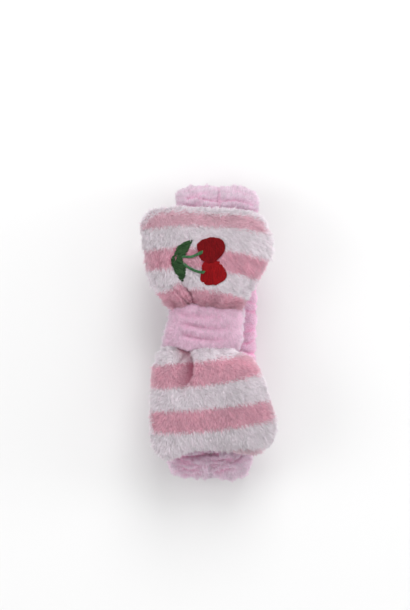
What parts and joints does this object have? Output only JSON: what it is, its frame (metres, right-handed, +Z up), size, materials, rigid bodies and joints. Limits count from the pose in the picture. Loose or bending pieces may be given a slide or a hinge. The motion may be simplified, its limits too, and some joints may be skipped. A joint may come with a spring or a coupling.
{
  "type": "spa headband",
  "caption": "Soft elasticated fleece headband lying flat, with a striped padded bow held by a gathered knot and an embroidered pair of cherries on one lobe.",
  "frame": {"origin": "on the table, under the middle of the whole headband's box", "axes": "+Y along the flattened loop towards the cherry lobe, +X across the band to the right, +Z up from the back layer to the bow"},
  "size_m": [0.0856, 0.1804, 0.0474],
  "materials": {
    "plain_fleece": "soft pale pink pile",
    "striped_fleece": "soft pile in rose and off-white stripes",
    "elastic": "woven ribbed elastic tape",
    "wadding": "soft polyester wadding",
    "red_thread": "glossy satin-stitch embroidery",
    "stem_thread": "glossy satin-stitch embroidery",
    "leaf_thread": "glossy satin-stitch embroidery",
    "pink_thread": "sewing thread"
  },
  "bodies": {
    "band_back": {"band_back_centre": "plain_fleece", "elastic_back_centre": "elastic"},
    "back_inner_top": {"band_back_inner_top": "plain_fleece", "elastic_back_inner_top": "elastic"},
    "back_outer_top": {"band_back_outer_top": "plain_fleece", "elastic_back_outer_top": "elastic"},
    "front_outer_top": {"band_front_outer_top": "plain_fleece", "elastic_front_outer_top": "elastic"},
    "front_inner_top": {"band_front_inner_top": "plain_fleece", "elastic_front_inner_top": "elastic"},
    "back_inner_bottom": {"band_back_inner_bottom": "plain_fleece", "elastic_back_inner_bottom": "elastic"},
    "back_outer_bottom": {"band_back_outer_bottom": "plain_fleece", "elastic_back_outer_bottom": "elastic"},
    "front_outer_bottom": {"band_front_outer_bottom": "plain_fleece", "elastic_front_outer_bottom": "elastic"},
    "front_inner_bottom": {"band_front_inner_bottom": "plain_fleece", "elastic_front_inner_bottom": "elastic"},
    "bow_centre": {"band_front_centre_top": "plain_fleece", "elastic_front_centre_top": "elastic", "knot_strip": "plain_fleece", "knot_closing_stitches": "pink_thread", "bow_waist": "striped_fleece"},
    "front_centre_bottom": {"band_front_centre_bottom": "plain_fleece", "elastic_front_centre_bottom": "elastic"},
    "upper_lobe": {"upper_lobe_front_panel": "striped_fleece", "upper_lobe_back_panel": "striped_fleece", "upper_lobe_wadding": "wadding", "cherry_upper": "red_thread", "cherry_lower": "red_thread", "cherry_stem_upper": "stem_thread", "cherry_stem_lower": "stem_thread", "cherry_leaf_upper": "leaf_thread", "cherry_leaf_lower": "leaf_thread"},
    "lower_lobe": {"lower_lobe_front_panel": "striped_fleece", "lower_lobe_back_panel": "striped_fleece", "lower_lobe_wadding": "wadding"}
  },
  "joints": [
    {"name": "loop_open", "type": "hinge", "parent": "band_back", "child": "back_inner_top", "pos_m": [0.0034, 0.028, 0.009], "axis": [1, 0, 0], "range_deg": [0, 65]},
    {"name": "band_stretch", "type": "slide", "parent": "back_inner_top", "child": "back_outer_top", "axis": [0, 1, 0], "range_m": [0, 0.05], "stiffness_N_per_m": 120},
    {"name": "fold_top", "type": "hinge", "parent": "back_outer_top", "child": "front_outer_top", "pos_m": [0.0034, 0.07425, 0.016], "axis": [-1, 0, 0], "range_deg": [0, 130]},
    {"name": "front_stretch_top", "type": "slide", "parent": "front_outer_top", "child": "front_inner_top", "axis": [0, -1, 0], "range_m": [0, 0.05]},
    {"name": "front_bend_top", "type": "hinge", "parent": "front_inner_top", "child": "bow_centre", "pos_m": [0.0034, 0.028, 0.023], "axis": [1, 0, 0], "range_deg": [0, 65]},
    {"name": "back_bend_bottom", "type": "hinge", "parent": "band_back", "child": "back_inner_bottom", "pos_m": [0.0034, -0.028, 0.009], "axis": [-1, 0, 0], "range_deg": [0, 65]},
    {"name": "back_stretch_bottom", "type": "slide", "parent": "back_inner_bottom", "child": "back_outer_bottom", "axis": [0, -1, 0], "range_m": [0, 0.05]},
    {"name": "fold_bottom", "type": "hinge", "parent": "back_outer_bottom", "child": "front_outer_bottom", "pos_m": [0.0034, -0.07425, 0.016], "axis": [1, 0, 0], "range_deg": [0, 130]},
    {"name": "front_stretch_bottom", "type": "slide", "parent": "front_outer_bottom", "child": "front_inner_bottom", "axis": [0, 1, 0], "range_m": [0, 0.05]},
    {"name": "front_bend_bottom", "type": "hinge", "parent": "front_inner_bottom", "child": "front_centre_bottom", "pos_m": [0.0034, -0.028, 0.023], "axis": [-1, 0, 0], "range_deg": [0, 65]},
    {"name": "upper_lobe_lift", "type": "hinge", "parent": "bow_centre", "child": "upper_lobe", "pos_m": [-0.003, 0.0242, 0.0394], "axis": [1, 0, 0], "range_deg": [0, 75]},
    {"name": "lower_lobe_lift", "type": "hinge", "parent": "bow_centre", "child": "lower_lobe", "pos_m": [-0.003, -0.0184, 0.0394], "axis": [-1, 0, 0], "range_deg": [0, 75]}
  ],
  "couplings": [
    {"joint": "fold_top", "follows": "loop_open", "ratio": 2},
    {"joint": "front_stretch_top", "follows": "band_stretch", "ratio": 1},
    {"joint": "front_bend_top", "follows": "loop_open", "ratio": 1},
    {"joint": "back_bend_bottom", "follows": "loop_open", "ratio": 1},
    {"joint": "back_stretch_bottom", "follows": "band_stretch", "ratio": 1},
    {"joint": "fold_bottom", "follows": "loop_open", "ratio": 2},
    {"joint": "front_stretch_bottom", "follows": "band_stretch", "ratio": 1},
    {"joint": "front_bend_bottom", "follows": "loop_open", "ratio": 1}
  ]
}
